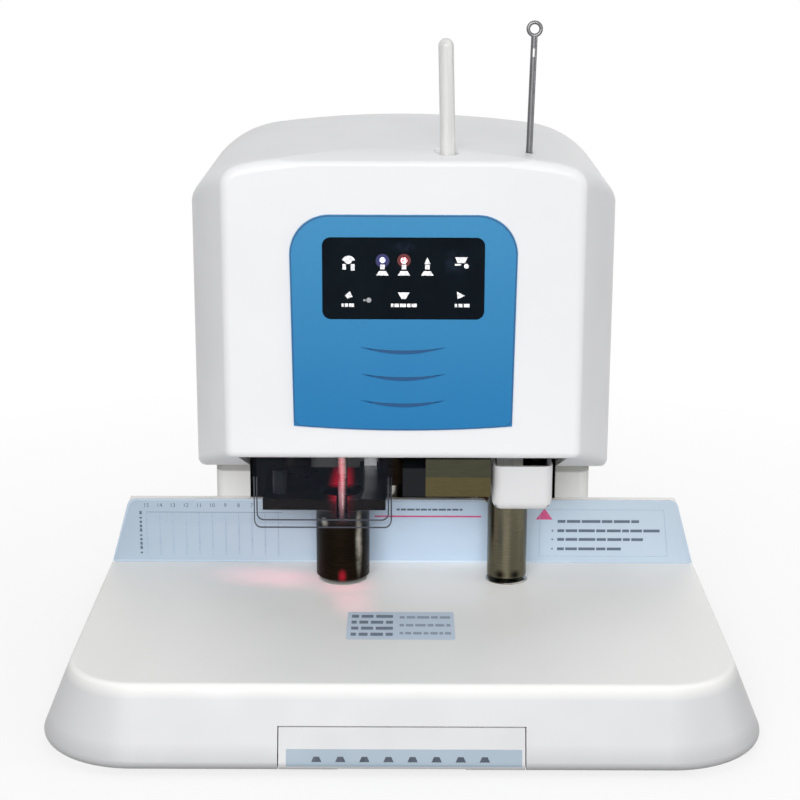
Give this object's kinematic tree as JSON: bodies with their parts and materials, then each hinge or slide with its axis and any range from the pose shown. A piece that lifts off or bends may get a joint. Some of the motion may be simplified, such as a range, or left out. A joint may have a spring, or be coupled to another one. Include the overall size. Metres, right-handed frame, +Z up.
{
  "type": "document riveting machine",
  "caption": "Electric document binding machine: hollow drill on the left, tube cutter in the middle and heated rivet press on the right, in a head over a wide table with a paper fence.",
  "frame": {"origin": "centre of the base's footprint on the desk", "axes": "+Z up, -Y towards the user, +X to the user's right"},
  "size_m": [0.4076, 0.3424, 0.3948],
  "materials": {
    "white_shell": "satin moulded plastic",
    "grey_shell": "fine textured plastic",
    "blue_panel": "satin plastic",
    "black_window": "smoked gloss",
    "printed_film": "printed film",
    "clear_guard": "clear acrylic",
    "dark_foot": "polished black",
    "black_plastic": "matt",
    "bright_steel": "ground",
    "frame_steel": "powder coat",
    "zinc_steel": "zinc plated",
    "bronze": "machined",
    "aluminium": "milled",
    "rubber": "matt",
    "pad_nylon": "plain",
    "nylon": "milky",
    "board": "solder mask",
    "copper_winding": "varnished"
  },
  "bodies": {
    "machine": {"base_shell": "white_shell", "bottom_plate": "zinc_steel", "rubber_feet": "rubber", "fence_film": "printed_film", "neck_shell": "grey_shell", "head_shell": "white_shell", "rear_cover": "grey_shell", "cover_screws": "zinc_steel", "control_panel": "blue_panel", "display_window": "black_window", "circuit_boards": "board", "head_frame": "frame_steel", "bed_plate": "frame_steel", "centre_plate": "frame_steel", "shaft_brackets": "zinc_steel", "guide_rods": "bright_steel", "drill_guard": "clear_guard", "drill_pad": "pad_nylon", "gear_motors": "zinc_steel", "lower_rivet_die": "bright_steel", "die_heater": "bronze", "cutter_guide": "bronze", "cutter_block": "bright_steel", "cutter_actuator": "black_plastic", "roller_bracket": "zinc_steel", "tube_feed_motor": "black_plastic", "tube_guide": "aluminium", "rod_holder": "zinc_steel", "socket_backing": "zinc_steel", "power_inlet": "black_plastic", "transformer": "copper_winding"},
    "drill_foot": {"drill_press_foot": "dark_foot", "foot_bushings": "bronze", "laser_module": "bronze", "foot_rack": "zinc_steel"},
    "drill_carriage": {"drill_carriage": "aluminium", "carriage_bearings": "bronze", "feed_rack": "zinc_steel", "drill_motor": "zinc_steel", "drive_belt": "rubber"},
    "drill_spindle": {"drill_spindle": "bright_steel", "drill_chuck": "bright_steel", "hollow_drill_bit": "bright_steel"},
    "motor_rotor": {"motor_pulley": "aluminium"},
    "press_shaft": {"press_shaft": "zinc_steel"},
    "feed_shaft": {"feed_shaft": "zinc_steel"},
    "rivet_foot": {"rivet_press_foot": "bright_steel", "rivet_bushings": "bronze", "rivet_rack": "zinc_steel", "rivet_cover": "white_shell", "ram_solenoid": "zinc_steel"},
    "rivet_ram": {"rivet_ram": "bright_steel", "ram_spring": "bright_steel"},
    "cutter_blade": {"cutter_blade": "bright_steel"},
    "feed_roller": {"feed_roller": "rubber"},
    "idler_roller": {"idler_roller": "rubber"},
    "nylon_tube": {"nylon_tube": "nylon"},
    "cleaning_rod": {"cleaning_rod": "zinc_steel"},
    "accessory_drawer": {"accessory_drawer": "white_shell"},
    "power_rocker": {"power_rocker": "black_plastic"}
  },
  "joints": [
    {"name": "press_foot_lift", "type": "slide", "parent": "machine", "child": "drill_foot", "axis": [0, 0, 1], "range_m": [0, 0.05]},
    {"name": "rivet_foot_lift", "type": "slide", "parent": "machine", "child": "rivet_foot", "axis": [0, 0, 1], "range_m": [0, 0.0501]},
    {"name": "press_shaft_turn", "type": "hinge", "parent": "machine", "child": "press_shaft", "pos_m": [0, 0.0835, 0.17], "axis": [-1, 0, 0], "range_deg": [0, 212.4]},
    {"name": "drill_feed", "type": "slide", "parent": "machine", "child": "drill_carriage", "axis": [0, 0, 1], "range_m": [-0.0365, 0.05]},
    {"name": "feed_shaft_turn", "type": "hinge", "parent": "machine", "child": "feed_shaft", "pos_m": [0, 0.0835, 0.205], "axis": [-1, 0, 0], "range_deg": [-155.1, 212.4]},
    {"name": "spindle_spin", "type": "hinge", "parent": "drill_carriage", "child": "drill_spindle", "pos_m": [-0.0374, 0.011, 0.2], "axis": [0, 0, 1], "continuous": true},
    {"name": "motor_spin", "type": "hinge", "parent": "drill_carriage", "child": "motor_rotor", "pos_m": [-0.062, 0.106, 0.2], "axis": [0, 0, 1], "continuous": true},
    {"name": "ram_stroke", "type": "slide", "parent": "rivet_foot", "child": "rivet_ram", "axis": [0, 0, -1], "range_m": [0, 0.004], "stiffness_N_per_m": 800, "springref_m": -0.004, "deforming": ["ram_spring"]},
    {"name": "blade_stroke", "type": "slide", "parent": "machine", "child": "cutter_blade", "axis": [1, 0, 0], "range_m": [0, 0.012]},
    {"name": "feed_roller_spin", "type": "hinge", "parent": "machine", "child": "feed_roller", "pos_m": [0.01828, -0.024, 0.152], "axis": [0, 1, 0], "continuous": true},
    {"name": "idler_roller_spin", "type": "hinge", "parent": "machine", "child": "idler_roller", "pos_m": [0.04128, -0.024, 0.152], "axis": [0, 1, 0], "continuous": true},
    {"name": "tube_lift", "type": "slide", "parent": "machine", "child": "nylon_tube", "axis": [-0.0262, 0, 0.9997], "range_m": [0, 0.15]},
    {"name": "cleaning_rod_lift", "type": "slide", "parent": "machine", "child": "cleaning_rod", "axis": [0.0244, 0, 0.9997], "range_m": [0, 0.055]},
    {"name": "drawer_pull", "type": "slide", "parent": "machine", "child": "accessory_drawer", "axis": [0, -1, 0], "range_m": [0, 0.085]},
    {"name": "switch_rock", "type": "hinge", "parent": "machine", "child": "power_rocker", "pos_m": [0.1, 0.16131, 0.025], "axis": [1, 0, 0], "range_deg": [-16, 0]}
  ],
  "couplings": [
    {"joint": "rivet_foot_lift", "follows": "press_foot_lift", "ratio": 1},
    {"joint": "press_shaft_turn", "follows": "press_foot_lift", "rad_per_m": 74.074},
    {"joint": "feed_shaft_turn", "follows": "drill_feed", "rad_per_m": 74.074},
    {"joint": "motor_spin", "follows": "spindle_spin", "ratio": 1.4},
    {"joint": "idler_roller_spin", "follows": "feed_roller_spin", "ratio": -1}
  ]
}
